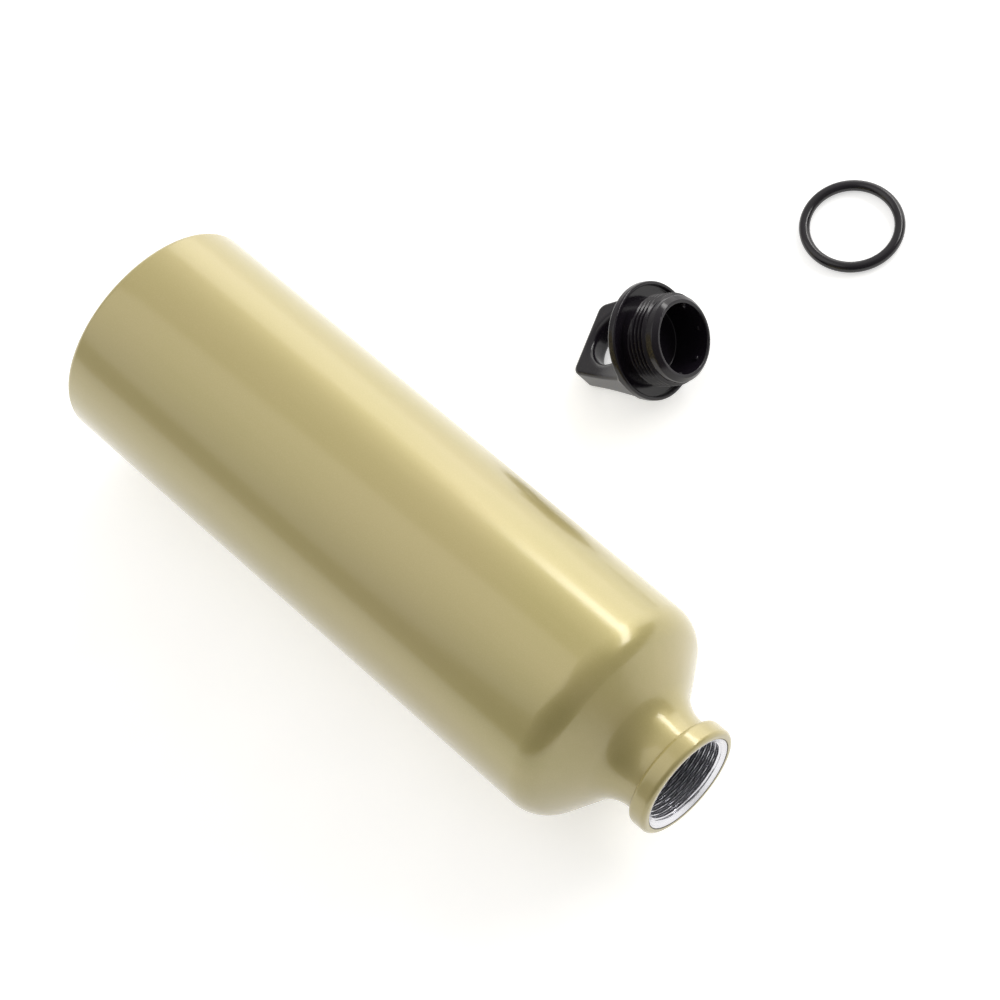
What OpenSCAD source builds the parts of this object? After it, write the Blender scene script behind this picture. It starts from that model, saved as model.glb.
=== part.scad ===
// Camping fuel bottle lying on its side, with its screw cap and its sealing ring off beside it.
// Millimetres, +Z up, Z = 0 is the surface they lie on. The bottle's axis runs along X and its
// mouth faces +X. The origin is on the surface under the middle of the whole set.

/* [Bottle body] */
// Outer diameter of the body
body_d = 73; // [70:0.5:76]
// Length from the standing ring to the lip
bottle_len = 227; // [210:1:260]
// Wall of the body and of the shoulder
wall = 1.2; // [1:0.1:1.5]
// Thickness of the base
base_t = 1.8; // [1.5:0.1:2.5]
// Radius round the edge of the base
base_edge_r = 2; // [1.5:0.1:3]
// Depth of the hollow under the base
dish_depth = 3; // [2:0.5:4]
// Width of the flat ring that the bottle stands on
stand_ring_w = 3.5; // [3:0.5:5]

/* [Shoulder and neck] */
// Length from the lip down to where the shoulder starts
shoulder_len = 35.8; // [35:0.2:40]
// Radius of the bend from the body into the shoulder
shoulder_r = 11; // [9:0.5:13]
// Angle of the shoulder's cone to the axis
shoulder_angle = 55; // [53:1:56]
// Radius of the bend from the shoulder into the neck
neck_bend_r = 13; // [12:0.5:13.5]
// Outer diameter of the neck
neck_d = 31.6; // [31.4:0.1:32]

/* [Rim] */
// Outer diameter of the rolled rim
rim_d = 36.6; // [36:0.1:38]
// Length of the rolled rim
rim_len = 6.5; // [6:0.1:7.5]
// Radius round the rim's edges
rim_edge_r = 1.5; // [1:0.1:1.8]
// Width of the seam between the rolled rim and the neck
rim_seam_w = 0.4; // [0.3:0.05:0.6]
// Depth of that seam
rim_seam_depth = 2; // [1:0.5:3]
// Outer diameter of the machined lip
lip_d = 31.4; // [31:0.1:32]
// Depth of the lip's conical seat
lip_depth = 1.4; // [1.2:0.1:1.6]

/* [Thread] */
// Outer diameter of the cap's thread
thread_d = 28.6; // [28.4:0.1:28.8]
// Pitch of the right-hand thread
thread_pitch = 1.5; // [1.45:0.05:1.7]
// Angle of the thread's flanks to a plane across its axis
flank_angle = 30; // [29:1:31]
// Height of the cap's thread
thread_depth = 0.9; // [0.8:0.05:1]
// Depth of the bottle's thread
neck_thread_depth = 0.65; // [0.6:0.05:0.7]
// Flat on top of the thread
thread_flat = 0.15; // [0.1:0.05:0.2]
// Play between the cap's thread and the bottle's, measured along the radius
thread_play = 0.15; // [0.1:0.05:0.2]
// Length of full bore in the bottle's neck that the thread is cut in
neck_thread_len = 11.2; // [11:0.1:12]
// Length over which the bore widens below its thread
throat_len = 2.6; // [2.4:0.1:2.8]

/* [Cap] */
// Diameter of the cap's flange
flange_d = 37; // [36.8:0.1:38]
// Thickness of the flange
flange_t = 2.8; // [2.7:0.1:3.5]
// Radius round the flange's back edge
flange_edge_r = 0.8; // [0.5:0.1:1]
// Width of the lip around the ring's seat
seat_lip_w = 1.2; // [1.1:0.1:1.5]
// Depth of the ring's seat in the flange
seat_depth = 1.6; // [1.4:0.1:1.7]
// Length of the plug in front of the flange
plug_len = 12.2; // [12:0.1:13]
// Wall of the plug under the thread
plug_wall = 2.5; // [2.2:0.1:2.8]
// Depth of the hollow plug below the flange's face
plug_floor_depth = 1; // [0.5:0.1:1.2]
// Chamfer at the plug's end
plug_chamfer = 1.4; // [1.2:0.1:1.6]
// Height of the thread's first crest over the flange's face
first_crest = 1.5; // [1.4:0.1:2]
// Plain stretch from the thread's last crest to the plug's end
plain_end = 3.2; // [3:0.1:3.6]
// Number of grip pips in the plug
pip_count = 7; // [5:1:9]
// Width of a pip
pip_w = 1.5; // [1:0.1:2]
// How far a pip stands out of the wall
pip_h = 0.6; // [0.4:0.1:0.8]
// Depth of the pips' middles below the plug's end
pip_depth = 3.5; // [3:0.5:5]

/* [Carrying loop] */
// Thickness of the loop plate
loop_t = 8; // [7.5:0.1:8.5]
// Length of the loop behind the flange's face
loop_len = 26; // [25.5:0.1:30]
// Width of the loop at its end
loop_end_w = 25.2; // [25:0.1:26]
// Growth of the loop's half width per millimetre towards the flange
loop_taper = 0.21; // [0.18:0.01:0.22]
// Radius of the loop's corners
loop_corner_r = 3; // [2.5:0.5:4]
// Radius round the loop's edges
loop_edge_r = 1; // [0.8:0.1:1.2]
// Diameter of the hole in the loop
hole_d = 19.4; // [18:0.1:19.5]
// Radius round the hole's edges
hole_edge_r = 1.3; // [1:0.1:1.5]
// Gap between the hole and the flange's back
hole_gap = 0.3; // [0.3:0.1:0.8]
// Thickness of the loop where it joins the flange
root_t = 11.6; // [10:0.1:11.8]

/* [Sealing ring] */
// Thickness of the ring's round section
ring_t = 3.5; // [3.3:0.1:3.6]
// Gap between the ring's inner side and the plug's root while relaxed, negative when stretched
ring_fit = -0.1; // [-0.3:0.05:0]

/* [Where the pieces lie] */
// Place of the bottle's axis across the set
bottle_y = -79.8; // [-85:0.1:-75]
// Place of the cap's flange along the set
cap_x = -1.4; // [-10:0.1:10]
// Place of the cap's flange across the set
cap_y = 24; // [20:0.1:30]
// Turn of the cap on the surface
cap_turn = 24; // [0:1:60]
// Place of the ring along the set
ring_x = 10.9; // [0:0.1:20]
// Place of the ring across the set
ring_y = 99.6; // [90:0.1:110]

/* [Hidden] */
$fn = 96;
// overlap that joins solids, and reach of a cut past a face
lap = 0.6;
body_r = body_d / 2;
neck_r = neck_d / 2;
rim_r = rim_d / 2;
lip_r = lip_d / 2;
thread_r = thread_d / 2;
root_r = thread_r - thread_depth;
cut_r = thread_r + thread_play;
bore_r = cut_r - neck_thread_depth;
flank = tan(flank_angle);
// How far a thread's foot reaches past its cylinder: small enough that its turns stay apart
foot_lap = 0.1;
// Steps of a thread in one turn, and steps over which it grows to its full height
thread_steps = 40;
taper_steps = 6;

// Shoulder and neck bends, as [radius, height] on a standing bottle
shoulder_z = bottle_len - shoulder_len;
slope = [cos(shoulder_angle), sin(shoulder_angle)];
bend_1 = [body_r - shoulder_r, shoulder_z];
cone_start = bend_1 + shoulder_r * slope;
bend_2_r = neck_r + neck_bend_r;
cone_end_r = bend_2_r - neck_bend_r * slope[0];
cone_end_z = cone_start[1] + (cone_start[0] - cone_end_r) / tan(shoulder_angle);
bend_2 = [bend_2_r, cone_end_z + neck_bend_r * slope[1]];
inner_bend_r = neck_bend_r + wall;
bore_top_z = bottle_len - lip_depth;
bore_low_z = bore_top_z - neck_thread_len;
// The bore widens at 45 degrees into the shoulder, to this radius and height
throat_r = bore_r + throat_len;
throat_z = bore_low_z - throat_len;
// Bevel inside, where the body meets the base
inner_corner = 1.5;

// Hollow under the base: part of a sphere
dish_edge_r = body_r - base_edge_r - stand_ring_w;
dish_sphere_r = (dish_edge_r * dish_edge_r + dish_depth * dish_depth) / (2 * dish_depth);
dish_centre = [0, dish_depth - dish_sphere_r];

// Cap, with its plug along +Z and the flange's face at 0
flange_r = flange_d / 2;
seat_r = flange_r - seat_lip_w;
plug_bore_r = root_r - plug_wall;
plug_bore_chamfer = 0.4;
last_crest = plug_len - plain_end;
// Radius round the edge of the flange's face
face_edge_r = 0.5;
hole_r = hole_d / 2;
hole_z = -flange_t - hole_gap - hole_r;
// How far the rounding of the hole runs past the loop's faces, so that it meets them at an angle
hole_edge_run = 0.1;
// How far the hole widens where it meets the root
hole_flare = 3;
// Turn of the first crest's end about the plug
thread_turn = 171;
end_half_w = loop_end_w / 2;
loop_side = atan(loop_taper);
corner_z = loop_corner_r - loop_len;
corner_y = end_half_w + loop_taper * loop_corner_r - loop_corner_r / cos(loop_side);
// How far the loop reaches into the flange, and the height at which its sides end there
loop_sunk = 0.3;
loop_top = loop_sunk - flange_t;
side_run = (loop_top - corner_z + loop_corner_r * sin(loop_side)) / cos(loop_side);
// The faces of the loop curve out to the root, from just past the middle of the hole. The curve
// is part of a circle that would leave the face a little earlier, so it starts at a slight angle.
root_past_hole = 1.4;
root_from = hole_z - root_past_hole;
root_rise = root_t / 2 - loop_t / 2;
root_lead = 3.5;
root_run = -flange_t - root_from;
root_reach = ((pow(root_run + root_lead, 2) - pow(root_lead, 2)) / root_rise + root_rise) / 2;
root_bend_x = loop_t / 2 + root_reach;
root_bend_r = norm([root_reach, root_lead]);

// The cap rests on its flange's back edge and on the end of its loop
rest_long = (loop_len - loop_edge_r) - (flange_t - flange_edge_r);
rest_high = (flange_r - flange_edge_r) - (loop_t / 2 - loop_edge_r);
rest_drop = loop_edge_r - flange_edge_r;
cap_tilt = atan(rest_high / rest_long) - asin(rest_drop / norm([rest_long, rest_high]));
cap_z = (flange_t - flange_edge_r) * sin(cap_tilt)
      + (flange_r - flange_edge_r) * cos(cap_tilt) + flange_edge_r;

// Sealing ring
ring_mid_r = root_r + ring_fit + ring_t / 2;

bottle_colour = [0.68, 0.62, 0.47];
plastic_colour = [0.07, 0.07, 0.08];
rubber_colour = [0.05, 0.05, 0.05];

// One section of a thread at turn a and height z: wide at r_foot, narrow at r_tip
function thread_section(a, z, r_foot, w_foot, r_tip, w_tip) = [
    [r_foot * cos(a), r_foot * sin(a), z - w_foot / 2],
    [r_tip * cos(a), r_tip * sin(a), z - w_tip / 2],
    [r_tip * cos(a), r_tip * sin(a), z + w_tip / 2],
    [r_foot * cos(a), r_foot * sin(a), z + w_foot / 2]
];

// Right-hand helical thread from z_low to z_high. It grows out of r_start over its first steps,
// and sinks back into it over its last ones if fade_top is true.
module helix(z_low, z_high, turn, r_foot, r_start, r_tip, w_tip, fade_top) {
    steps = round((z_high - z_low) / thread_pitch * thread_steps);
    w_foot = w_tip + 2 * flank * (r_tip - r_foot);
    points = [for (i = [0:steps])
        let (
            left = fade_top ? min(i, steps - i) : i,
            grown = min(1, left / taper_steps),
            tip = r_start + (r_tip - r_start) * grown,
            tip_w = w_foot - 2 * flank * (tip - r_foot)
        )
        each thread_section(turn + i * 360 / thread_steps, z_low + i * thread_pitch / thread_steps,
                            r_foot, w_foot, tip, tip_w)
    ];
    sides = [for (i = [0:steps - 1], k = [0:3])
        let (a = 4 * i + k, b = 4 * i + (k + 1) % 4)
        each [[a, b, b + 4], [a, b + 4, a + 4]]
    ];
    last = 4 * steps;
    ends = [[3, 2, 1], [3, 1, 0], [last, last + 1, last + 2], [last, last + 2, last + 3]];
    polyhedron(points = points, faces = concat(sides, ends), convexity = 12);
}

// Corner of a flat shape, rounded: the piece to take off a corner that points to +X +Y
module corner_cut(r) {
    difference() {
        translate([-r, -r]) square(r + lap);
        translate([-r, -r]) circle(r);
    }
}

// Outline of the outside of the bottle, standing on Z = 0
module bottle_outside() {
    difference() {
        union() {
            polygon([
                [0, 0],
                [body_r - base_edge_r, 0],
                [body_r, base_edge_r],
                [body_r, shoulder_z],
                cone_start,
                [cone_end_r, cone_end_z],
                [neck_r, bend_2[1]],
                [neck_r, bottle_len],
                [0, bottle_len]
            ]);
            translate([body_r - base_edge_r, base_edge_r]) circle(base_edge_r);
            translate(bend_1) circle(shoulder_r);
        }
        translate(bend_2) circle(neck_bend_r);
        translate(dish_centre) circle(dish_sphere_r);
    }
}

// Outline of the hollow inside, up to the lip
module bottle_inside() {
    difference() {
        union() {
            polygon([
                [0, base_t],
                [body_r - wall - inner_corner, base_t],
                [body_r - wall, base_t + inner_corner],
                [body_r - wall, shoulder_z],
                bend_1 + (shoulder_r - wall) * slope,
                bend_2 - inner_bend_r * slope,
                [throat_r + lap, throat_z - lap],
                [bore_r, bore_low_z],
                [bore_r, bore_top_z],
                [lip_r, bottle_len],
                [lip_r, bottle_len + lap],
                [0, bottle_len + lap]
            ]);
            translate(bend_1) circle(shoulder_r - wall);
        }
        translate(bend_2) circle(inner_bend_r);
        translate(dish_centre) circle(dish_sphere_r + base_t);
    }
}

// Section of the rolled rim, with the seam behind it
module rim_section() {
    difference() {
        translate([bore_r, bottle_len - rim_len]) square([rim_r - bore_r, rim_len]);
        translate([rim_r, bottle_len]) corner_cut(rim_edge_r);
        translate([rim_r, bottle_len - rim_len]) mirror([0, 1]) corner_cut(rim_edge_r);
        translate([neck_r, bottle_len - rim_len - lap])
            square([rim_seam_w, rim_seam_depth + lap]);
    }
}

module bottle_standing() {
    difference() {
        rotate_extrude() {
            difference() {
                union() {
                    bottle_outside();
                    rim_section();
                }
                bottle_inside();
            }
        }
        helix(bore_low_z + thread_pitch / 2, bottle_len + thread_pitch / 2, 0,
              bore_r - foot_lap, bore_r - foot_lap / 2, cut_r, thread_flat, false);
    }
}

module bottle() {
    color(bottle_colour)
        translate([-bottle_len / 2, bottle_y, body_r])
        rotate([0, 90, 0])
        bottle_standing();
}

// Flange and plug, turned: plug up, the flange's face at Z = 0
module cap_turned() {
    rotate_extrude() {
        difference() {
            polygon([
                [0, -flange_t],
                [flange_r, -flange_t],
                [flange_r, 0],
                [seat_r, 0],
                [seat_r, -seat_depth],
                [root_r, -seat_depth],
                [root_r, plug_len - plug_chamfer],
                [root_r - plug_chamfer, plug_len],
                [plug_bore_r + plug_bore_chamfer, plug_len],
                [plug_bore_r, plug_len - plug_bore_chamfer],
                [plug_bore_r, -plug_floor_depth],
                [0, -plug_floor_depth]
            ]);
            translate([flange_r, 0]) corner_cut(face_edge_r);
            translate([flange_r, -flange_t]) mirror([0, 1]) corner_cut(flange_edge_r);
        }
    }
}

// Section of the loop's outer edge: X runs through the thickness, Y outwards
module loop_edge_section() {
    difference() {
        translate([-loop_t / 2, 0]) square([loop_t, loop_corner_r]);
        translate([loop_t / 2, loop_corner_r]) corner_cut(loop_edge_r);
        mirror([1, 0]) translate([loop_t / 2, loop_corner_r]) corner_cut(loop_edge_r);
    }
}

// Tapered side of the loop and the corner below it, on the side that faces +Y
module loop_side_and_corner() {
    translate([0, corner_y, corner_z]) {
        rotate([-loop_side, 0, 0]) linear_extrude(side_run) loop_edge_section();
        rotate([0, 90, 0])
            rotate_extrude(angle = 90 - loop_side)
            rotate(-90)
            loop_edge_section();
    }
}

module loop_end() {
    translate([0, -corner_y, corner_z])
        rotate([-90, 0, 0])
        linear_extrude(2 * corner_y) loop_edge_section();
}

// Plate between the rounded edges, from its own outline as [across, along]
module loop_middle() {
    low = corner_z - lap;
    low_y = corner_y + lap;
    top = corner_z + side_run * cos(loop_side);
    top_y = corner_y + side_run * sin(loop_side) + lap;
    translate([-loop_t / 2, 0, 0])
        rotate([90, 0, 90])
        linear_extrude(loop_t)
        polygon([[-low_y, low], [low_y, low], [top_y, top], [-top_y, top]]);
}

// Both faces of the loop curve out to the thicker root at the flange
module loop_root() {
    low_half_w = end_half_w + loop_taper * (root_from + loop_len);
    top_half_w = end_half_w + loop_taper * (loop_top + loop_len);
    intersection() {
        rotate([90, 0, 0])
            linear_extrude(flange_d, center = true)
            difference() {
                translate([-root_t / 2, root_from])
                    square([root_t, loop_top - root_from]);
                translate([root_bend_x, root_from - root_lead]) circle(root_bend_r);
                translate([-root_bend_x, root_from - root_lead]) circle(root_bend_r);
            }
        translate([-root_t, 0, 0])
            rotate([90, 0, 90])
            linear_extrude(2 * root_t)
            polygon([
                [-low_half_w, root_from],
                [low_half_w, root_from],
                [top_half_w, loop_top],
                [-top_half_w, loop_top]
            ]);
    }
}

// The hole with its rounded edges, as a solid to take away
module loop_hole() {
    edge_x = loop_t / 2 - hole_edge_r + hole_edge_run;
    mouth_r = hole_r + hole_edge_r
            - sqrt(pow(hole_edge_r, 2) - pow(hole_edge_r - hole_edge_run, 2));
    translate([0, 0, hole_z])
        rotate([0, 90, 0])
        rotate_extrude()
        difference() {
            polygon([
                [0, -loop_t / 2 - hole_flare],
                [mouth_r + hole_flare, -loop_t / 2 - hole_flare],
                [mouth_r, -loop_t / 2],
                [mouth_r, -edge_x],
                [hole_r, -edge_x],
                [hole_r, edge_x],
                [mouth_r, edge_x],
                [mouth_r, loop_t / 2],
                [mouth_r + hole_flare, loop_t / 2 + hole_flare],
                [0, loop_t / 2 + hole_flare]
            ]);
            translate([hole_r + hole_edge_r, edge_x]) circle(hole_edge_r);
            translate([hole_r + hole_edge_r, -edge_x]) circle(hole_edge_r);
        }
}

module loop() {
    difference() {
        union() {
            loop_middle();
            loop_end();
            loop_side_and_corner();
            mirror([0, 1, 0]) loop_side_and_corner();
            loop_root();
        }
        loop_hole();
    }
}

module pips() {
    for (i = [0:pip_count - 1])
        rotate([0, 0, i * 360 / pip_count])
            translate([plug_bore_r - pip_h, -pip_w / 2, plug_len - pip_depth - pip_w / 2])
            cube([pip_h + lap, pip_w, pip_w]);
}

module cap_standing() {
    cap_turned();
    loop();
    pips();
    helix(first_crest, last_crest, thread_turn, root_r - foot_lap, root_r - foot_lap / 2,
          thread_r, thread_flat, true);
}

module cap() {
    color(plastic_colour)
        translate([cap_x, cap_y, cap_z])
        rotate([0, 0, cap_turn])
        rotate([0, 90 - cap_tilt, 0])
        cap_standing();
}

module seal_ring() {
    color(rubber_colour)
        translate([ring_x, ring_y, ring_t / 2])
        rotate_extrude()
        translate([ring_mid_r, 0])
        circle(ring_t / 2);
}

bottle();
cap();
seal_ring();
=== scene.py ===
import bpy
import math
import numpy as np
from mathutils import Matrix, Vector


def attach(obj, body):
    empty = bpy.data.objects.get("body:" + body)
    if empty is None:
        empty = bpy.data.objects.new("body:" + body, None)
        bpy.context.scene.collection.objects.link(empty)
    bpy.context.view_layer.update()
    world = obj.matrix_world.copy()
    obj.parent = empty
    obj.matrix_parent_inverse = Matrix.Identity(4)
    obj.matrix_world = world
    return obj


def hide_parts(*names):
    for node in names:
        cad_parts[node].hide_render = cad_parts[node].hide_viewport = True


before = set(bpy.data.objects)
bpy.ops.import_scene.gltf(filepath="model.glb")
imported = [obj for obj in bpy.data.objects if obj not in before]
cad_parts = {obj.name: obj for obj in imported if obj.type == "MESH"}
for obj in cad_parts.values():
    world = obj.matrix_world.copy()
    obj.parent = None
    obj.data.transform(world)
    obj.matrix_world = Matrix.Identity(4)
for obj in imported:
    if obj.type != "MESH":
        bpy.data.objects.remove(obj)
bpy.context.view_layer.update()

MM = 0.001

# Sizes, in millimetres
BODY_R = 36.5
LENGTH = 227.0
WALL = 1.2
BASE_T = 1.8
BASE_EDGE_R = 2.0
DISH_DEPTH = 3.0
DISH_EDGE_R = 31.0
SHOULDER_Z = 191.2
SHOULDER_R = 11.0
SHOULDER_ANGLE = math.radians(55)
NECK_R = 15.8
NECK_BEND_R = 13.0
RIM_R = 18.3
RIM_LEN = 6.5
RIM_EDGE_R = 1.5
SEAM_W = 0.4
SEAM_DEPTH = 2.0
LIP_R = 15.7
LIP_DEPTH = 1.4
THREAD_R = 14.3
THREAD_DEPTH = 0.9
THREAD_FLAT = 0.15
NECK_THREAD_DEPTH = 0.65
PITCH = 1.5
ROOT_R = THREAD_R - THREAD_DEPTH
CUT_R = THREAD_R + 0.15
BORE_R = CUT_R - NECK_THREAD_DEPTH
FLANK = math.tan(math.radians(60))
BORE_TOP = LENGTH - LIP_DEPTH
BORE_LOW = BORE_TOP - 11.2

BOTTLE_AT = (-113.5, -79.8, 36.5)
CAP_AT = (-1.4, 24.0)
CAP_TURN = math.radians(24)
RING_AT = (10.9, 99.6)
RING_T = 3.5
RING_MID_R = ROOT_R - 0.1 + RING_T / 2

FLANGE_R = 18.5
FLANGE_T = 2.8
FLANGE_EDGE_R = 0.8
SEAT_R = 17.3
SEAT_DEPTH = 1.6
PLUG_LEN = 12.2
PLUG_BORE_R = ROOT_R - 2.5
PLUG_CHAMFER = 1.4
PLUG_FLOOR = -1.0
FIRST_CREST = 1.5
LAST_CREST = 9.0
THREAD_TURN = math.radians(171)
LOOP_T = 8.0
LOOP_LEN = 26.0
LOOP_END_W = 25.2
LOOP_TAPER = 0.21
LOOP_EDGE_R = 1.0
LOOP_CORNER_R = 3.0
HOLE_R = 9.7
HOLE_Z = -FLANGE_T - 0.3 - HOLE_R
ROOT_T = 11.6


# Mesh helpers
def mesh_object(name, verts, faces, mats=(), face_mats=None, sharp=None):
    me = bpy.data.meshes.new(name)
    me.from_pydata([tuple(v) for v in verts], [], [tuple(f) for f in faces])
    for m in mats:
        me.materials.append(m)
    if face_mats is not None:
        me.polygons.foreach_set("material_index", np.asarray(face_mats, np.int32))
    me.polygons.foreach_set("use_smooth", np.ones(len(me.polygons), bool))
    me.update()
    if sharp is not None:
        me.set_sharp_from_angle(angle=math.radians(sharp))
    ob = bpy.data.objects.new(name, me)
    bpy.context.scene.collection.objects.link(ob)
    return ob


def arc(cx, cy, r, a0, a1, n):
    """Points (radius, height) on an arc, both ends included."""
    t = np.radians(np.linspace(a0, a1, n))
    return [(cx + r * math.cos(v), cy + r * math.sin(v)) for v in t]


def lathe(name, profile, mats, segs=256, change=None, sharp=None):
    """Turned solid. profile is a list of (radius, height, material), from axis to axis.
    change(radius, height, angle) gives the moved radius."""
    prof = np.array([(r, z) for r, z, _ in profile])
    mat = [m for _, _, m in profile]
    n = len(prof)
    ang = np.linspace(0, 2 * math.pi, segs, endpoint=False)
    verts, index = [], np.zeros((n, segs), int)
    for i, (r, z) in enumerate(prof):
        if r < 1e-6:
            index[i, :] = len(verts)
            verts.append((0.0, 0.0, z))
            continue
        rr = np.full(segs, r)
        if change is not None:
            rr = change(rr, np.full(segs, z), ang)
        index[i, :] = np.arange(len(verts), len(verts) + segs)
        verts += list(zip(rr * np.cos(ang), rr * np.sin(ang), np.full(segs, z)))
    faces, fm = [], []
    for i in range(n - 1):
        a, b = index[i], index[i + 1]
        a2, b2 = np.roll(a, -1), np.roll(b, -1)
        for k in range(segs):
            if a[k] == a2[k]:
                f = (a[k], b2[k], b[k])
            elif b[k] == b2[k]:
                f = (a[k], a2[k], b[k])
            else:
                f = (a[k], a2[k], b2[k], b[k])
            faces.append(f)
            fm.append(mat[i + 1])
    return mesh_object(name, verts, faces, mats, fm, sharp)


def place(ob, matrix):
    ob.data.transform(matrix)
    ob.data.transform(Matrix.Scale(MM, 4))
    ob.data.update()


def smooth_step(x):
    x = np.clip(x, 0.0, 1.0)
    return x * x * (3 - 2 * x)


# Node helpers
class Nodes:
    """A small builder for shader nodes."""

    def __init__(self, name):
        self.mat = bpy.data.materials.new(name)
        self.mat.use_nodes = True
        self.tree = self.mat.node_tree
        self.tree.nodes.clear()
        self.out = self.tree.nodes.new("ShaderNodeOutputMaterial")

    def add(self, kind, **props):
        n = self.tree.nodes.new("ShaderNode" + kind)
        for k, v in props.items():
            setattr(n, k, v)
        return n

    def link(self, a, b):
        self.tree.links.new(a, b)

    def value(self, socket, x):
        if isinstance(x, (int, float)):
            socket.default_value = x
        elif isinstance(x, (tuple, list)):
            socket.default_value = x
        else:
            self.link(x, socket)

    def math(self, op, a, b=0.0, c=0.0, clamp=False):
        n = self.add("Math", operation=op, use_clamp=clamp)
        for s, x in zip(n.inputs, (a, b, c)):
            self.value(s, x)
        return n.outputs[0]

    def coords(self):
        return self.add("TexCoord").outputs["Object"]

    def mapped(self, vec, scale=(1, 1, 1), loc=(0, 0, 0)):
        n = self.add("Mapping")
        self.link(vec, n.inputs["Vector"])
        n.inputs["Scale"].default_value = scale
        n.inputs["Location"].default_value = loc
        return n.outputs[0]

    def noise(self, vec, scale, detail=3.0, rough=0.5, dims="3D", w=None):
        n = self.add("TexNoise", noise_dimensions=dims)
        if vec is not None and dims != "1D":
            self.link(vec, n.inputs["Vector"])
        if w is not None:
            self.value(n.inputs["W"], w)
        n.inputs["Scale"].default_value = scale
        n.inputs["Detail"].default_value = detail
        n.inputs["Roughness"].default_value = rough
        return n.outputs[0]

    def ramp(self, fac, stops, interp="LINEAR"):
        n = self.add("ValToRGB")
        n.color_ramp.interpolation = interp
        els = n.color_ramp.elements
        while len(els) > 1:
            els.remove(els[-1])
        els[0].position, els[0].color = stops[0][0], tuple(stops[0][1]) + (1,)
        for p, c in stops[1:]:
            e = els.new(p)
            e.color = tuple(c) + (1,)
        self.link(fac, n.inputs[0])
        return n.outputs[0]

    def span(self, x, a0, a1, b0, b1):
        n = self.add("MapRange")
        self.link(x, n.inputs["Value"])
        for k, v in (("From Min", a0), ("From Max", a1), ("To Min", b0), ("To Max", b1)):
            n.inputs[k].default_value = v
        return n.outputs[0]

    def mix(self, fac, a, b, blend="MIX"):
        n = self.add("Mix", data_type="RGBA", blend_type=blend)
        self.value(n.inputs[0], fac)
        for s, x in ((n.inputs[6], a), (n.inputs[7], b)):
            if isinstance(x, (tuple, list)):
                s.default_value = tuple(x) + ((1,) if len(x) == 3 else ())
            else:
                self.link(x, s)
        return n.outputs[2]

    def bump(self, height, strength, distance, normal=None):
        n = self.add("Bump")
        self.link(height, n.inputs["Height"])
        n.inputs["Strength"].default_value = strength
        n.inputs["Distance"].default_value = distance
        if normal is not None:
            self.link(normal, n.inputs["Normal"])
        return n.outputs[0]

    def principled(self, **vals):
        n = self.add("BsdfPrincipled")
        for k, v in vals.items():
            s = n.inputs[k.replace("_", " ")]
            if isinstance(v, (int, float)):
                s.default_value = v
            elif isinstance(v, (tuple, list)):
                s.default_value = tuple(v) + ((1,) if len(v) == 3 and s.type == "RGBA" else ())
            else:
                self.link(v, s)
        self.link(n.outputs[0], self.out.inputs[0])
        return n


def axis_distance(n, vec, y, z):
    """Distance in metres from the bottle's axis, which runs along X."""
    sep = n.add("SeparateXYZ")
    n.link(vec, sep.inputs[0])
    dy = n.math("SUBTRACT", sep.outputs[1], y)
    dz = n.math("SUBTRACT", sep.outputs[2], z)
    return n.math("SQRT", n.math("ADD", n.math("MULTIPLY", dy, dy), n.math("MULTIPLY", dz, dz))), sep


# Materials
def paint_material():
    n = Nodes("champagne_paint")
    obj = n.coords()
    # soft streaks of the metallic coat, drawn out along the bottle
    streak = n.noise(n.mapped(obj, (3.0, 60.0, 60.0)), 1.0, 4.0, 0.55)
    cloud = n.noise(n.mapped(obj, (14.0, 22.0, 22.0)), 1.0, 3.0, 0.5)
    flake = n.noise(obj, 3800.0, 2.0, 0.6)
    base = n.ramp(streak, [(0.3, (0.44, 0.375, 0.125)), (0.7, (0.51, 0.43, 0.165))])
    base = n.mix(n.span(cloud, 0.35, 0.65, 0.0, 0.5), base, (0.49, 0.40, 0.17))
    base = n.mix(n.span(flake, 0.45, 0.75, 0.0, 0.22), base, (0.64, 0.56, 0.29))
    rough = n.math("ADD", n.span(streak, 0.3, 0.7, 0.33, 0.40), n.span(flake, 0.3, 0.7, -0.02, 0.03))
    h = n.math("ADD", n.math("MULTIPLY", n.noise(obj, 900.0, 2.0, 0.5), 1.0), n.math("MULTIPLY", flake, 0.35))
    n.principled(
        Base_Color=base, Metallic=0.25, Roughness=rough, Coat_Weight=1.0, Coat_Roughness=0.16, Coat_IOR=1.55,
        Normal=n.bump(h, 0.12, 0.00006),
    )
    return n.mat


def bare_material():
    n = Nodes("machined_aluminium")
    obj = n.coords()
    dist, sep = axis_distance(n, obj, BOTTLE_AT[1] * MM, BOTTLE_AT[2] * MM)
    # fine turning marks, one ring beside the other
    rings = n.noise(None, 5200.0, 2.0, 0.6, "1D", dist)
    along = n.noise(None, 4200.0, 2.0, 0.6, "1D", sep.outputs[0])
    marks = n.math("ADD", rings, along)
    tone = n.ramp(n.math("MULTIPLY", marks, 0.5), [(0.3, (0.62, 0.62, 0.66)), (0.7, (0.86, 0.86, 0.90))])
    n.principled(
        Base_Color=tone, Metallic=0.92, Roughness=n.span(rings, 0.3, 0.7, 0.2, 0.32),
        Normal=n.bump(marks, 0.12, 0.00003),
    )
    return n.mat


def inside_material():
    n = Nodes("bare_inside")
    obj = n.coords()
    streak = n.noise(n.mapped(obj, (6.0, 90.0, 90.0)), 1.0, 3.0, 0.5)
    tone = n.ramp(streak, [(0.3, (0.32, 0.32, 0.33)), (0.7, (0.46, 0.46, 0.47))])
    n.principled(
        Base_Color=tone, Metallic=0.9, Roughness=n.span(streak, 0.3, 0.7, 0.42, 0.58),
        Normal=n.bump(streak, 0.2, 0.0001),
    )
    return n.mat


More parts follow.
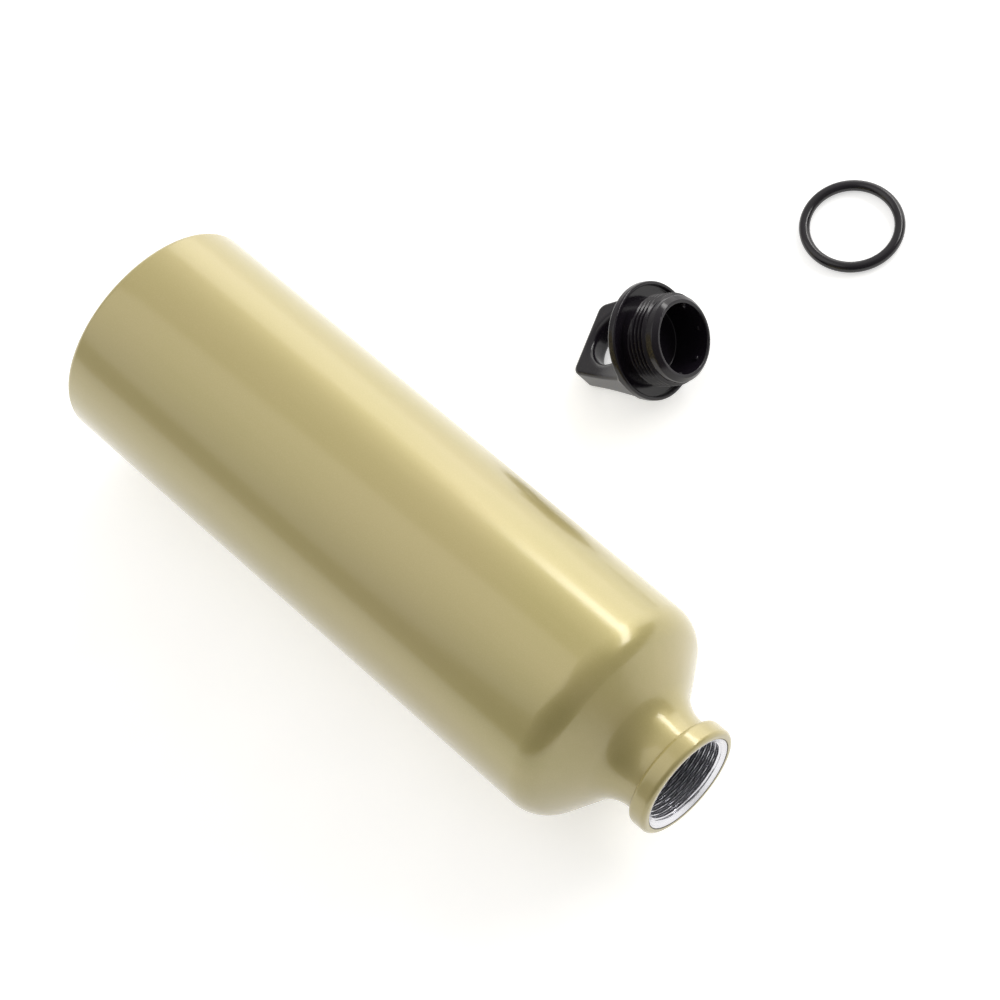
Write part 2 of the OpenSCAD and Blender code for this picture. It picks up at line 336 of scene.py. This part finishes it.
# near-black paint: painted shade on the walls and floor of the seam's groove, and a thin dark line along the paint's
# edge at the lip
def seam_shade_and_edge_line_material():
    n = Nodes("seam_shade_and_paint_edge_line")
    obj = n.coords()
    fine = n.noise(obj, 2600.0, 3.0, 0.6)
    tone = n.ramp(fine, [(0.3, (0.060, 0.050, 0.026)), (0.7, (0.11, 0.092, 0.048))])
    n.principled(Base_Color=tone, Metallic=0.3, Roughness=n.span(fine, 0.3, 0.7, 0.4, 0.55))
    return n.mat


def plastic_material():
    n = Nodes("black_plastic")
    obj = n.coords()
    grain = n.noise(obj, 1500.0, 3.0, 0.55)
    cloud = n.noise(obj, 60.0, 3.0, 0.5)
    tone = n.ramp(cloud, [(0.3, (0.0075, 0.0058, 0.0090)), (0.7, (0.0120, 0.0095, 0.0145))])
    rough = n.math("ADD", n.span(cloud, 0.3, 0.7, 0.13, 0.20), n.span(grain, 0.3, 0.7, -0.02, 0.03))
    n.principled(
        Base_Color=tone, Roughness=rough, IOR=1.46, Specular_IOR_Level=0.42,
        Normal=n.bump(grain, 0.18, 0.00004),
    )
    return n.mat


def rubber_material():
    n = Nodes("black_rubber")
    obj = n.coords()
    grain = n.noise(obj, 2200.0, 3.0, 0.6)
    cloud = n.noise(obj, 90.0, 2.0, 0.5)
    tone = n.ramp(cloud, [(0.3, (0.0075, 0.0060, 0.0090)), (0.7, (0.0125, 0.0100, 0.0150))])
    n.principled(
        Base_Color=tone, Roughness=n.span(grain, 0.3, 0.7, 0.15, 0.22), IOR=1.5,
        Normal=n.bump(grain, 0.15, 0.00003),
    )
    return n.mat


PAINT, BARE, INSIDE, SEAM_SHADE_AND_EDGE_LINE = paint_material(), bare_material(), inside_material(), seam_shade_and_edge_line_material()
PLASTIC, RUBBER = plastic_material(), rubber_material()


# Bottle
def bottle_profile():
    """(radius, height, material) from the middle of the base outside, round the lip, to the middle of the base
    inside. 0 paint, 1 bare machined metal, 2 bare inside, 3 near-black: painted shade in the seam's groove, and a
    dark line along the paint's edge at the lip."""
    dish_r = (DISH_EDGE_R ** 2 + DISH_DEPTH ** 2) / (2 * DISH_DEPTH)
    dish_z = DISH_DEPTH - dish_r
    p = [(0.0, DISH_DEPTH, 0)]
    for r in np.linspace(0, DISH_EDGE_R - 0.4, 14)[1:]:
        p.append((r, dish_z + math.sqrt(dish_r ** 2 - r ** 2), 0))
    p += [(DISH_EDGE_R, 0.06, 0), (DISH_EDGE_R + 0.5, 0.0, 0)]
    p += [(r, z, 0) for r, z in arc(BODY_R - BASE_EDGE_R, BASE_EDGE_R, BASE_EDGE_R, -90, 0, 12)]
    p += [(BODY_R, z, 0) for z in np.linspace(BASE_EDGE_R, SHOULDER_Z, 26)[1:-1]]
    bend_1 = (BODY_R - SHOULDER_R, SHOULDER_Z)
    a = math.degrees(SHOULDER_ANGLE)
    outer_1 = arc(*bend_1, SHOULDER_R, 0, a, 26)
    p += [(r, z, 0) for r, z in outer_1]
    bend_2_r = NECK_R + NECK_BEND_R
    end_r = bend_2_r - NECK_BEND_R * math.cos(SHOULDER_ANGLE)
    end_z = outer_1[-1][1] + (outer_1[-1][0] - end_r) / math.tan(SHOULDER_ANGLE)
    bend_2 = (bend_2_r, end_z + NECK_BEND_R * math.sin(SHOULDER_ANGLE))
    for t in (0.25, 0.5, 0.75):
        p.append((outer_1[-1][0] + (end_r - outer_1[-1][0]) * t, outer_1[-1][1] + (end_z - outer_1[-1][1]) * t, 0))
    p += [(r, z, 0) for r, z in arc(*bend_2, NECK_BEND_R, 180 + a, 180, 22)]
    low = LENGTH - RIM_LEN
    # seam between the neck and the rolled rim; the groove's walls and floor carry the near-black material, which is
    # painted shade
    p += [(NECK_R, low - 0.4, 0), (NECK_R, low + 0.1, 0), (NECK_R, low + SEAM_DEPTH, 3),
          (NECK_R + SEAM_W, low + SEAM_DEPTH, 3), (NECK_R + SEAM_W, low + 0.35, 3)]
    p += [(r, z, 0) for r, z in arc(NECK_R + SEAM_W + 0.35, low + 0.35, 0.35, 180, 270, 5)]
    p += [(r, z, 0) for r, z in arc(RIM_R - RIM_EDGE_R, low + RIM_EDGE_R, RIM_EDGE_R, -90, 0, 12)]
    p += [(RIM_R, z, 0) for z in np.linspace(low + RIM_EDGE_R, LENGTH - RIM_EDGE_R, 5)[1:-1]]
    p += [(r, z, 0) for r, z in arc(RIM_R - RIM_EDGE_R, LENGTH - RIM_EDGE_R, RIM_EDGE_R, 0, 90, 14)]
    # the thin band at the paint's edge carries the near-black material, drawn as a dark line along the edge
    p += [(LIP_R + 0.45, LENGTH, 0), (LIP_R + 0.28, LENGTH - 0.03, 3), (LIP_R + 0.12, LENGTH - 0.12, 3),
          (LIP_R, LENGTH - 0.10, 1)]
    steps = 10
    for k in range(1, steps + 1):
        t = k / steps
        p.append((LIP_R + (BORE_R - LIP_R) * t, LENGTH - 0.10 - (LIP_DEPTH - 0.10) * t, 1))
    # threaded bore, fine enough for the thread to be drawn in it
    rows = int((BORE_TOP - BORE_LOW) / PITCH * 16)
    for k in range(1, rows + 1):
        p.append((BORE_R, BORE_TOP - (BORE_TOP - BORE_LOW) * k / rows, 1))
    inner_r = NECK_BEND_R + WALL
    # below the bore a 45 degree throat runs out to the bend of the inside
    a2, b2 = bend_2[0] - BORE_R, BORE_LOW - bend_2[1]
    reach = ((a2 + b2) - math.sqrt((a2 + b2) ** 2 - 2 * (a2 * a2 + b2 * b2 - inner_r ** 2))) / 2
    p += [(BORE_R + reach / 2, BORE_LOW - reach / 2, 2), (BORE_R + reach, BORE_LOW - reach, 2)]
    start = math.degrees(math.asin((bend_2[1] - (BORE_LOW - reach)) / inner_r))
    p += [(r, z, 2) for r, z in arc(*bend_2, inner_r, 180 + start, 180 + a, 12)]
    p += [(r, z, 2) for r, z in arc(*bend_1, SHOULDER_R - WALL, a, 0, 14)]
    p += [(BODY_R - WALL, z, 2) for z in np.linspace(SHOULDER_Z, BASE_T + 1.5, 12)[1:]]
    p += [(BODY_R - WALL - 1.5, BASE_T, 2)]
    dome = dish_r + BASE_T
    edge = math.sqrt(dome ** 2 - (BASE_T - dish_z) ** 2)
    for r in np.linspace(edge, 0, 8):
        p.append((r, dish_z + math.sqrt(dome ** 2 - r ** 2), 2))
    p[-1] = (0.0, p[-1][1], 2)
    return p


def bore_thread(r, z, ang):
    """Cuts the right-hand thread into the wall of the bore and of the cone in front of it."""
    low = BORE_LOW + PITCH / 2
    if z[0] < low - 0.1 or z[0] > LENGTH - 0.12 or r[0] > LIP_R + 0.05 or r[0] < BORE_R - 0.01:
        return r
    phase = (z - low) / PITCH - ang / (2 * math.pi)
    off = np.abs(phase - np.round(phase)) * PITCH
    cut = CUT_R - np.maximum(off - THREAD_FLAT / 2, 0.0) * FLANK
    turns = np.round(phase) + ang / (2 * math.pi)
    fade = smooth_step(turns / 0.15)
    deep = BORE_R + (np.maximum(cut, BORE_R) - BORE_R) * fade
    return np.maximum(r, deep)


bottle = lathe("bottle_shell", bottle_profile(), [PAINT, BARE, INSIDE, SEAM_SHADE_AND_EDGE_LINE], 288, bore_thread, 32)
place(bottle, Matrix.Translation(BOTTLE_AT) @ Matrix.Rotation(math.radians(90), 4, "Y"))
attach(bottle, "bottle")
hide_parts("bottle")

# Cap, plug along +Z, flange's face at 0
rest_long = (LOOP_LEN - LOOP_EDGE_R) - (FLANGE_T - FLANGE_EDGE_R)
rest_high = (FLANGE_R - FLANGE_EDGE_R) - (LOOP_T / 2 - LOOP_EDGE_R)
tilt = math.atan(rest_high / rest_long) - math.asin((LOOP_EDGE_R - FLANGE_EDGE_R) / math.hypot(rest_long, rest_high))
cap_z = (FLANGE_T - FLANGE_EDGE_R) * math.sin(tilt) + (FLANGE_R - FLANGE_EDGE_R) * math.cos(tilt) + FLANGE_EDGE_R
cap_place = (
    Matrix.Translation((CAP_AT[0], CAP_AT[1], cap_z))
    @ Matrix.Rotation(CAP_TURN, 4, "Z")
    @ Matrix.Rotation(math.pi / 2 - tilt, 4, "Y")
)


def plug_profile():
    """The plug alone: from the seat's floor up the thread, over the end and down to its floor."""
    p = [(0.0, -SEAT_DEPTH - 0.7, 0), (ROOT_R, -SEAT_DEPTH - 0.7, 0), (ROOT_R, -SEAT_DEPTH, 0)]
    rows = int((LAST_CREST + 1.4 + SEAT_DEPTH) / PITCH * 18)
    top = LAST_CREST + 1.4
    p += [(ROOT_R, -SEAT_DEPTH + (top + SEAT_DEPTH) * k / rows, 0) for k in range(1, rows + 1)]
    p += [(r, z, 0) for r, z in arc(ROOT_R - 0.5, PLUG_LEN - PLUG_CHAMFER - 0.2, 0.5, 0, 45, 5)]
    p += [(r, z, 0) for r, z in arc(ROOT_R - PLUG_CHAMFER - 0.15, PLUG_LEN - 0.35, 0.35, 45, 90, 5)]
    p += [(r, z, 0) for r, z in arc(PLUG_BORE_R + 0.45, PLUG_LEN - 0.45, 0.45, 90, 180, 7)]
    p += [(PLUG_BORE_R, z, 0) for z in np.linspace(PLUG_LEN - 0.45, PLUG_FLOOR + 0.4, 8)[1:]]
    p += [(r, z, 0) for r, z in arc(PLUG_BORE_R - 0.4, PLUG_FLOOR + 0.4, 0.4, 0, -90, 5)]
    p += [(PLUG_BORE_R * t, PLUG_FLOOR, 0) for t in (0.66, 0.33)]
    p += [(0.0, PLUG_FLOOR, 0)]
    return p


def plug_thread(r, z, ang):
    """Raises the thread on the plug's root. It grows over its first turn's start and sinks at its end."""
    if r[0] < ROOT_R - 0.01 or z[0] < FIRST_CREST - 1.2 or z[0] > LAST_CREST + 1.2:
        return r
    lead = np.mod(ang - THREAD_TURN, 2 * math.pi) / (2 * math.pi)
    phase = (z - FIRST_CREST) / PITCH - lead
    near = np.round(phase)
    off = np.abs(phase - near) * PITCH
    crest_turn = near + lead
    last = (LAST_CREST - FIRST_CREST) / PITCH
    grow = smooth_step(crest_turn / 0.15) * smooth_step((last - crest_turn) / 0.15)
    grow = np.where((crest_turn < 0) | (crest_turn > last), 0.0, grow)
    ridge = np.clip(1.0 - (off - THREAD_FLAT / 2) * FLANK / THREAD_DEPTH, 0.0, 1.0)
    return r + THREAD_DEPTH * ridge * grow


plug = lathe("cap_plug", plug_profile(), [PLASTIC], 288, plug_thread, 38)
place(plug, cap_place)


# Flange and loop: a rounded, blended form given by its distance function, meshed on a fine grid
def smin(a, b, k):
    h = np.clip(0.5 + 0.5 * (b - a) / k, 0, 1)
    return b + (a - b) * h - k * h * (1 - h)


def smax(a, b, k):
    return -smin(-a, -b, k)


def rounded_box2(dx, dy, r):
    """Distance to a corner given the distances to its two sides, rounded by r."""
    return np.minimum(np.maximum(dx, dy), 0.0) + np.hypot(np.maximum(dx, 0), np.maximum(dy, 0)) - r


def loop_outline(q, s):
    """Distance in the plate's plane to its tapered outline with rounded corners."""
    c = 1 / math.hypot(1, LOOP_TAPER)
    end_half = LOOP_END_W / 2
    side = (np.abs(q) - (end_half + LOOP_TAPER * (s + LOOP_LEN))) * c
    end = -LOOP_LEN - s
    # the corner is a little wider than a right angle: round it in the two sides' own distances
    r = LOOP_CORNER_R
    dot = LOOP_TAPER * c
    a, b = side + r, end + r
    corner = np.sqrt(np.maximum((a * a + b * b - 2 * a * b * dot) / (1 - dot * dot), 0)) - r
    inside = (a - b * dot > 0) & (b - a * dot > 0)
    return np.where(inside, corner, np.maximum(side, end))


def cap_distance(h, q, s):
    rad = np.hypot(h, q)
    # flange, rounded at its edges
    back = rounded_box2(rad - (FLANGE_R - 0.8), -(s + FLANGE_T) + 0.8, 0.8)
    front = rounded_box2(rad - (FLANGE_R - 0.55), s + 0.55, 0.55)
    flange = np.maximum(back, front)
    seat = rounded_box2(rad - (SEAT_R - 0.25), -(s + SEAT_DEPTH) + 0.25, 0.25)
    flange = smax(flange, -seat, 0.35)
    # loop plate, growing thicker to its root
    from_s = HOLE_Z - 5.0
    t = np.clip((s - from_s) / (-FLANGE_T - from_s), 0, 1.2)
    half = LOOP_T / 2 + (ROOT_T - LOOP_T) / 2 * t * t
    plan = loop_outline(q, s)
    plate = rounded_box2(plan + LOOP_EDGE_R, np.abs(h) - half + LOOP_EDGE_R, LOOP_EDGE_R)
    plate = np.maximum(plate, s + FLANGE_T - 0.08)
    hole = HOLE_R - np.hypot(q, s - HOLE_Z)
    plate = smax(plate, hole, 2.4)
    return np.maximum(smin(plate, flange, 1.1), rad - FLANGE_R)


def surface_net(fn, low, high, step):
    """Closed mesh of fn = 0, one point in each cell that the surface crosses, pulled onto it."""
    low, high = np.array(low, float), np.array(high, float)
    n = np.ceil((high - low) / step).astype(int) + 1
    ax = [low[i] + step * np.arange(n[i]) for i in range(3)]
    g = np.stack(np.meshgrid(*ax, indexing="ij"), -1)
    v = fn(g[..., 0], g[..., 1], g[..., 2])
    inside = v < 0
    cells = tuple(m - 1 for m in n)
    total = np.zeros(cells + (3,))
    count = np.zeros(cells)
    for axis in range(3):
        for o1 in (0, 1):
            for o2 in (0, 1):
                others = [i for i in range(3) if i != axis]
                sl0, sl1 = [None] * 3, [None] * 3
                sl0[axis], sl1[axis] = slice(0, cells[axis]), slice(1, cells[axis] + 1)
                for i, o in zip(others, (o1, o2)):
                    sl0[i] = sl1[i] = slice(o, o + cells[i])
                v0, v1 = v[tuple(sl0)], v[tuple(sl1)]
                cross = (v0 < 0) != (v1 < 0)
                t = np.where(cross, v0 / np.where(cross, v0 - v1, 1), 0)
                p = g[tuple(sl0)].copy()
                p[..., axis] += t * step
                total += p * cross[..., None]
                count += cross
    used = count > 0
    index = np.full(cells, -1)
    index[used] = np.arange(used.sum())
    pts = total[used] / count[used][:, None]
    for _ in range(6):
        e = 0.02
        f = fn(pts[:, 0], pts[:, 1], pts[:, 2])
        grad = np.stack([
            fn(*(pts + np.eye(3)[i] * e).T) - fn(*(pts - np.eye(3)[i] * e).T) for i in range(3)
        ], -1) / (2 * e)
        move = grad * (f / np.maximum((grad ** 2).sum(-1), 0.05))[:, None]
        size = np.linalg.norm(move, axis=1)
        move *= np.minimum(1, 0.25 * step / np.maximum(size, 1e-9))[:, None]
        pts -= move
    quads = []
    for axis in range(3):
        a, b = [i for i in range(3) if i != axis]
        sl0, sl1 = [slice(1, m - 1) for m in n], [slice(1, m - 1) for m in n]
        sl0[axis], sl1[axis] = slice(0, n[axis] - 1), slice(1, n[axis])
        i0, i1 = inside[tuple(sl0)], inside[tuple(sl1)]
        where = np.argwhere(i0 != i1)
        start = i0[i0 != i1]
        off = np.ones(3, int)
        off[axis] = 0
        where = where + off
        ea, eb = np.zeros(3, int), np.zeros(3, int)
        ea[a], eb[b] = 1, 1
        c = [index[tuple((where + d).T)] for d in (-ea - eb, -eb, 0 * ea, -ea)]
        q = np.stack(c, -1)
        flip = start if axis != 1 else ~start
        q[~flip] = q[~flip][:, ::-1]
        quads.append(q)
    return pts, np.concatenate(quads)


pts, quads = surface_net(cap_distance, (-20.4, -20.4, -27.4), (20.4, 20.4, 1.4), 0.34)
cap_body = mesh_object("cap_flange_and_loop", pts, quads, [PLASTIC])
place(cap_body, cap_place)


def pip_mesh():
    """The small square grip pips on the plug's wall, each with its edges rounded."""
    verts, faces = [], []
    half, out = 0.75, 0.6
    levels = [(0.5, 1.0), (0.0, 1.0), (-0.35, 0.97), (-0.52, 0.86), (-0.6, 0.62)]
    for i in range(7):
        a = i * 2 * math.pi / 7
        ca, sa = math.cos(a), math.sin(a)
        rings = []
        for depth, size in levels:
            ring = []
            for k in range(24):
                t = 2 * math.pi * (k + 0.5) / 24
                m = max(abs(math.cos(t)), abs(math.sin(t))) ** 0.82
                u, w = half * size * math.cos(t) / m, half * size * math.sin(t) / m
                r = PLUG_BORE_R + depth * (out / 0.6)
                ring.append(len(verts))
                verts.append((r * ca - u * sa, r * sa + u * ca, PLUG_LEN - 3.5 + w))
            rings.append(ring)
        for r0, r1 in zip(rings, rings[1:]):
            for k in range(24):
                faces.append((r0[k], r0[(k + 1) % 24], r1[(k + 1) % 24], r1[k])[::-1])
        faces.append(tuple(rings[-1])[::-1])
        faces.append(tuple(rings[0]))
    return verts, faces


pv, pf = pip_mesh()
pips = mesh_object("cap_pips", pv, pf, [PLASTIC], sharp=50)
place(pips, cap_place)
for piece in (plug, cap_body, pips):
    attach(piece, "cap")
    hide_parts("cap")


# Sealing ring
def torus(name, big, small, n_big, n_small, mat):
    a = np.linspace(0, 2 * math.pi, n_big, endpoint=False)
    b = np.linspace(0, 2 * math.pi, n_small, endpoint=False)
    A, B = np.meshgrid(a, b, indexing="ij")
    r = big + small * np.cos(B)
    verts = np.stack([r * np.cos(A), r * np.sin(A), small * np.sin(B)], -1).reshape(-1, 3)
    i, j = np.meshgrid(np.arange(n_big), np.arange(n_small), indexing="ij")
    i2, j2 = (i + 1) % n_big, (j + 1) % n_small
    f = np.stack([i * n_small + j, i2 * n_small + j, i2 * n_small + j2, i * n_small + j2], -1).reshape(-1, 4)
    return mesh_object(name, verts, f.tolist(), [mat])


ring = torus("sealing_ring", RING_MID_R, RING_T / 2, 256, 40, RUBBER)
place(ring, Matrix.Translation((RING_AT[0], RING_AT[1], RING_T / 2)))
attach(ring, "seal_ring")
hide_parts("seal_ring")

# Floor
me = bpy.data.meshes.new("floor")
S = 6.0
me.from_pydata([(-S, -S, 0), (S, -S, 0), (S, S, 0), (-S, S, 0)], [], [(0, 1, 2, 3)])
floor = bpy.data.objects.new("floor", me)
bpy.context.scene.collection.objects.link(floor)
n = Nodes("floor_white")
path = n.add("LightPath")
seen = n.math("MAXIMUM", path.outputs["Is Camera Ray"],
              n.math("MAXIMUM", path.outputs["Is Glossy Ray"], path.outputs["Is Transmission Ray"]))
diff = n.add("BsdfDiffuse")
fine = n.noise(n.coords(), 40.0, 3.0, 0.5)
n.link(n.ramp(fine, [(0.3, (0.84, 0.84, 0.835)), (0.7, (0.87, 0.87, 0.865))]), diff.inputs[0])
glow = n.add("Emission")
glow.inputs[0].default_value = (1, 1, 1, 1)
n.link(n.math("MULTIPLY", seen, 0.54), glow.inputs[1])
both = n.add("AddShader")
n.link(diff.outputs[0], both.inputs[0])
n.link(glow.outputs[0], both.inputs[1])
n.link(both.outputs[0], n.out.inputs[0])
me.materials.append(n.mat)

# World and lamps
world = bpy.data.worlds.new("studio")
bpy.context.scene.world = world
world.use_nodes = True
wt = world.node_tree
wt.nodes.clear()
w_out = wt.nodes.new("ShaderNodeOutputWorld")
w_path = wt.nodes.new("ShaderNodeLightPath")
w_max = wt.nodes.new("ShaderNodeMath")
w_max.operation = "MAXIMUM"
wt.links.new(w_path.outputs["Is Camera Ray"], w_max.inputs[0])
wt.links.new(w_path.outputs["Is Transmission Ray"], w_max.inputs[1])
w_light, w_white = wt.nodes.new("ShaderNodeBackground"), wt.nodes.new("ShaderNodeBackground")
w_light.inputs[0].default_value = (1.0, 0.985, 0.96, 1)
# the studio is brighter on the side of the cap than behind the bottle, and darker past the mouth
w_dir = wt.nodes.new("ShaderNodeTexCoord")
w_sep = wt.nodes.new("ShaderNodeSeparateXYZ")
w_times = wt.nodes.new("ShaderNodeMath")
w_times.operation = "MULTIPLY"
wt.links.new(w_dir.outputs["Generated"], w_sep.inputs[0])
for i, spans in ((0, (-0.25, 0.45, 1.0, 0.4)), (1, (-0.8, 0.8, 0.35, 1.0))):
    w_map = wt.nodes.new("ShaderNodeMapRange")
    for key, v in zip(("From Min", "From Max", "To Min", "To Max"), spans):
        w_map.inputs[key].default_value = v
    wt.links.new(w_sep.outputs[i], w_map.inputs["Value"])
    wt.links.new(w_map.outputs[0], w_times.inputs[i])
wt.links.new(w_times.outputs[0], w_light.inputs[1])
w_white.inputs[0].default_value = (1, 1, 1, 1)
w_white.inputs[1].default_value = 1.0
w_mix = wt.nodes.new("ShaderNodeMixShader")
wt.links.new(w_max.outputs[0], w_mix.inputs[0])
wt.links.new(w_light.outputs[0], w_mix.inputs[1])
wt.links.new(w_white.outputs[0], w_mix.inputs[2])
wt.links.new(w_mix.outputs[0], w_out.inputs[0])


def area(name, at, to, size, power, colour=(1, 1, 1)):
    lamp = bpy.data.lights.new(name, "AREA")
    lamp.shape = "RECTANGLE"
    lamp.size, lamp.size_y = size
    lamp.energy = power
    lamp.color = colour
    ob = bpy.data.objects.new(name, lamp)
    bpy.context.scene.collection.objects.link(ob)
    ob.location = at
    ob.rotation_euler = (Vector(to) - Vector(at)).to_track_quat("-Z", "Y").to_euler()
    return ob


area("key", (0.15, 1.42, 1.09), (0, -0.05, 0), (1.8, 0.3), 14.0, (1.0, 0.99, 0.97))
area("side", (-0.5, 1.6, 0.45), (0, -0.05, 0.02), (1.9, 0.85), 6.5, (1.0, 0.985, 0.955))
area("top", (-0.8, -0.85, 1.4), (0, -0.05, 0), (1.4, 2.2), 7.0, (1.0, 0.985, 0.96))

# Camera
cam = bpy.data.cameras.new("photo_camera")
cam.sensor_width = 36.0
cam.lens = 115.2
cam.clip_start, cam.clip_end = 0.05, 20.0
cam_ob = bpy.data.objects.new("photo_camera", cam)
bpy.context.scene.collection.objects.link(cam_ob)
right = Vector((0.70128, 0.69764, -0.14664)).normalized()
down = Vector((0.58325, -0.67975, -0.4447))
back = right.cross(-down).normalized()
up = back.cross(right).normalized()
cam_ob.matrix_world = Matrix((
    (right.x, up.x, back.x, 0.39793),
    (right.y, up.y, back.y, -0.26578),
    (right.z, up.z, back.z, 0.87315),
    (0, 0, 0, 1),
))
bpy.context.scene.camera = cam_ob
bpy.context.scene.view_settings.view_transform = "Standard"

bpy.context.view_layer.update()
